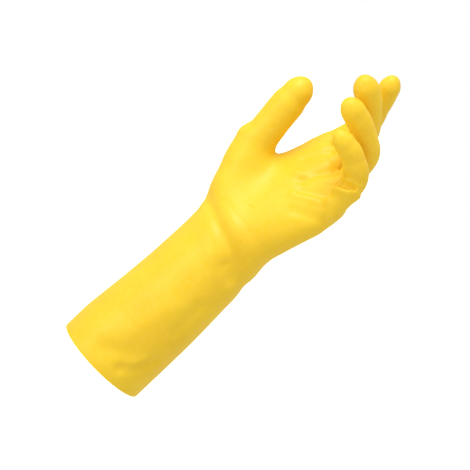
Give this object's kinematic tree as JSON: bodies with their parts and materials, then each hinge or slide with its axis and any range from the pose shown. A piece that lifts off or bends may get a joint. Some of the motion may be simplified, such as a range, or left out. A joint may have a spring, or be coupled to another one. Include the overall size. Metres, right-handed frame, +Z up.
{
  "type": "rubber household glove",
  "caption": "Long-cuffed rubber household glove for the left hand, flock lined, in its moulded half-open shape, with flex lines at the wrist, thumb and fingers.",
  "frame": {"origin": "centre of the cuff's round mouth", "axes": "+Z up the forearm to the fingers, the palm faces -Y, the thumb is on the -X side"},
  "size_m": [0.1091, 0.081, 0.3311],
  "materials": {
    "latex_film": "satin",
    "flock_lining": "matte"
  },
  "bodies": {
    "cuff": {"cuff_film": "latex_film", "cuff_lining": "flock_lining"},
    "wrist": {"wrist_film": "latex_film", "wrist_lining": "flock_lining"},
    "palm": {"palm_film": "latex_film", "palm_lining": "flock_lining"},
    "thumb_base": {"thumb_base_film": "latex_film", "thumb_base_lining": "flock_lining"},
    "thumb_middle": {"thumb_middle_film": "latex_film", "thumb_middle_lining": "flock_lining"},
    "thumb_tip": {"thumb_tip_film": "latex_film", "thumb_tip_lining": "flock_lining"},
    "index_root": {"index_root_film": "latex_film", "index_root_lining": "flock_lining"},
    "index_middle": {"index_middle_film": "latex_film", "index_middle_lining": "flock_lining"},
    "index_tip": {"index_tip_film": "latex_film", "index_tip_lining": "flock_lining"},
    "middle_root": {"middle_root_film": "latex_film", "middle_root_lining": "flock_lining"},
    "middle_middle": {"middle_middle_film": "latex_film", "middle_middle_lining": "flock_lining"},
    "middle_tip": {"middle_tip_film": "latex_film", "middle_tip_lining": "flock_lining"},
    "ring_root": {"ring_root_film": "latex_film", "ring_root_lining": "flock_lining"},
    "ring_middle": {"ring_middle_film": "latex_film", "ring_middle_lining": "flock_lining"},
    "ring_tip": {"ring_tip_film": "latex_film", "ring_tip_lining": "flock_lining"},
    "little_root": {"little_root_film": "latex_film", "little_root_lining": "flock_lining"},
    "little_middle": {"little_middle_film": "latex_film", "little_middle_lining": "flock_lining"},
    "little_tip": {"little_tip_film": "latex_film", "little_tip_lining": "flock_lining"}
  },
  "joints": [
    {"name": "wrist_deviation", "type": "hinge", "parent": "cuff", "child": "wrist", "pos_m": [0, 0, 0.118], "axis": [0, 1, 0], "range_deg": [-28, 20], "stiffness_Nm_per_rad": 1.2},
    {"name": "wrist_flexion", "type": "hinge", "parent": "wrist", "child": "palm", "pos_m": [0, 0, 0.151], "axis": [0.9973, 0, -0.0741], "range_deg": [-23, 57], "stiffness_Nm_per_rad": 1},
    {"name": "thumb_swing", "type": "hinge", "parent": "palm", "child": "thumb_base", "pos_m": [-0.02439, -0.01152, 0.18683], "axis": [-0.7509, -0.4451, -0.4879], "range_deg": [-22, 12], "stiffness_Nm_per_rad": 0.3},
    {"name": "thumb_fold_flex", "type": "hinge", "parent": "thumb_base", "child": "thumb_middle", "pos_m": [-0.03628, -0.02198, 0.22499], "axis": [0.2895, -0.9423, -0.168], "range_deg": [-35, 22], "stiffness_Nm_per_rad": 0.12},
    {"name": "thumb_tip_flex", "type": "hinge", "parent": "thumb_middle", "child": "thumb_tip", "pos_m": [-0.03717, -0.02558, 0.24362], "axis": [0.2895, -0.9423, -0.168], "range_deg": [-50.5, 4.5], "stiffness_Nm_per_rad": 0.06},
    {"name": "index_root_flex", "type": "hinge", "parent": "palm", "child": "index_root", "pos_m": [-0.01187, 0.02448, 0.26677], "axis": [0.9628, -0.203, -0.1782], "range_deg": [-4.5, 40], "stiffness_Nm_per_rad": 0.12},
    {"name": "index_middle_flex", "type": "hinge", "parent": "index_root", "child": "index_middle", "pos_m": [-0.00812, 0.027, 0.28419], "axis": [0.9628, -0.203, -0.1782], "range_deg": [-30, 50], "stiffness_Nm_per_rad": 0.08},
    {"name": "index_tip_flex", "type": "hinge", "parent": "index_middle", "child": "index_tip", "pos_m": [-0.00565, 0.01756, 0.30829], "axis": [0.9628, -0.203, -0.1782], "range_deg": [-9, 33], "stiffness_Nm_per_rad": 0.05},
    {"name": "middle_root_flex", "type": "hinge", "parent": "palm", "child": "middle_root", "pos_m": [0.00886, 0.0168, 0.25954], "axis": [0.9478, -0.2709, -0.1681], "range_deg": [-25, 40], "stiffness_Nm_per_rad": 0.12},
    {"name": "middle_middle_flex", "type": "hinge", "parent": "middle_root", "child": "middle_middle", "pos_m": [0.01139, 0.01238, 0.28095], "axis": [0.9478, -0.2709, -0.1681], "range_deg": [-37.5, 42.5], "stiffness_Nm_per_rad": 0.08},
    {"name": "middle_tip_flex", "type": "hinge", "parent": "middle_middle", "child": "middle_tip", "pos_m": [0.0087, -0.0096, 0.30119], "axis": [0.9478, -0.2709, -0.1681], "range_deg": [-17, 25], "stiffness_Nm_per_rad": 0.05},
    {"name": "ring_root_flex", "type": "hinge", "parent": "palm", "child": "ring_root", "pos_m": [0.03112, 0.01239, 0.25462], "axis": [0.9077, -0.3657, -0.2059], "range_deg": [-31, 40], "stiffness_Nm_per_rad": 0.12},
    {"name": "ring_middle_flex", "type": "hinge", "parent": "ring_root", "child": "ring_middle", "pos_m": [0.03296, 0.00729, 0.27179], "axis": [0.9077, -0.3657, -0.2059], "range_deg": [-48.5, 31.5], "stiffness_Nm_per_rad": 0.08},
    {"name": "ring_tip_flex", "type": "hinge", "parent": "ring_middle", "child": "ring_tip", "pos_m": [0.02632, -0.01656, 0.28487], "axis": [0.9077, -0.3657, -0.2059], "range_deg": [-15.5, 26.5], "stiffness_Nm_per_rad": 0.05},
    {"name": "little_root_flex", "type": "hinge", "parent": "palm", "child": "little_root", "pos_m": [0.04871, 0.00257, 0.24088], "axis": [0.9072, -0.354, -0.2271], "range_deg": [-35, 36], "stiffness_Nm_per_rad": 0.12},
    {"name": "little_middle_flex", "type": "hinge", "parent": "little_root", "child": "little_middle", "pos_m": [0.05018, -0.00153, 0.25313], "axis": [0.8327, -0.4874, -0.2629], "range_deg": [-47, 31], "stiffness_Nm_per_rad": 0.08},
    {"name": "little_tip_flex", "type": "hinge", "parent": "little_middle", "child": "little_tip", "pos_m": [0.04347, -0.01856, 0.26343], "axis": [0.8327, -0.4874, -0.2629], "range_deg": [-22.5, 19.5], "stiffness_Nm_per_rad": 0.05}
  ]
}
